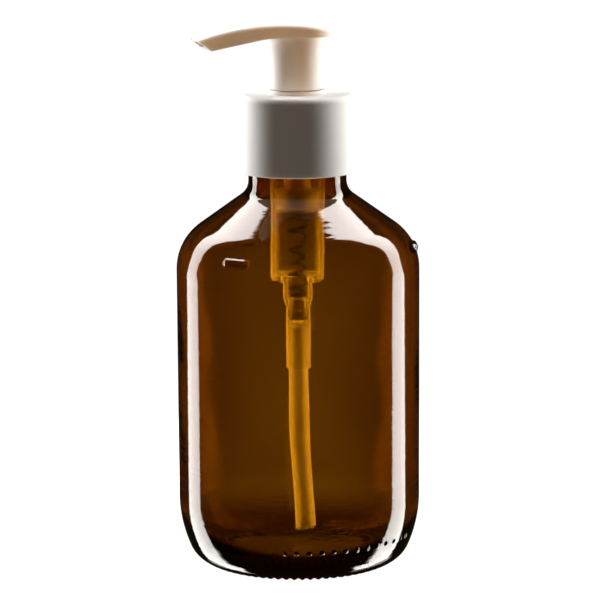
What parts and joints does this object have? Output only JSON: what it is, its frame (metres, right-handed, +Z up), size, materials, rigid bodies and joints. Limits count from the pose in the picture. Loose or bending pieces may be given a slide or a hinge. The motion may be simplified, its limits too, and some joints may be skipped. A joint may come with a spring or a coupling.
{
  "type": "pump oil bottle",
  "caption": "Round amber glass bottle with sloped shoulders, white screw collar and a lock-down lotion pump with an arched spout.",
  "frame": {"origin": "centre of the circle that the bottle stands on", "axes": "+Z up along the bottle's axis; the spout points along -X"},
  "size_m": [0.0666, 0.0666, 0.1495],
  "materials": {
    "amber_glass": "clear amber glass, smooth blown surface",
    "white_plastic": "smooth moulded white polypropylene",
    "natural_plastic": "translucent natural polypropylene",
    "soft_plastic": "soft natural polyethylene",
    "foam": "foamed polyethylene sheet",
    "spring_steel": "drawn stainless spring wire",
    "ball_steel": "polished stainless ball"
  },
  "bodies": {
    "bottle": {"glass_bottle": "amber_glass"},
    "pump": {"pump_housing": "natural_plastic", "guide_ring": "white_plastic", "neck_gasket": "foam", "dip_tube": "natural_plastic", "return_spring": "spring_steel"},
    "collar": {"screw_collar": "white_plastic"},
    "plunger": {"pump_stem": "white_plastic", "piston_seal": "soft_plastic"},
    "head": {"actuator_head": "white_plastic"},
    "inlet_valve": {"inlet_ball": "ball_steel"},
    "outlet_valve": {"outlet_ball": "ball_steel"}
  },
  "joints": [
    {"name": "pump_rise", "type": "slide", "parent": "bottle", "child": "pump", "axis": [0, 0, 1], "range_m": [0, 0.00635]},
    {"name": "collar_turn", "type": "hinge", "parent": "pump", "child": "collar", "pos_m": [0, 0, 0.12], "axis": [0, 0, 1], "range_deg": [0, 540]},
    {"name": "pump_stroke", "type": "slide", "parent": "pump", "child": "plunger", "axis": [0, 0, 1], "range_m": [0, 0.0145], "stiffness_N_per_m": 300, "springref_m": 0.03, "deforming": ["return_spring"]},
    {"name": "head_swivel", "type": "hinge", "parent": "plunger", "child": "head", "pos_m": [0, 0, 0.14], "axis": [0, 0, 1], "continuous": true},
    {"name": "inlet_ball_lift", "type": "slide", "parent": "pump", "child": "inlet_valve", "axis": [0, 0, 1], "range_m": [0, 0.0018]},
    {"name": "outlet_ball_lift", "type": "slide", "parent": "plunger", "child": "outlet_valve", "axis": [0, 0, 1], "range_m": [0, 0.0007]}
  ],
  "couplings": [
    {"joint": "collar_turn", "follows": "pump_rise", "rad_per_m": 1484.3}
  ]
}
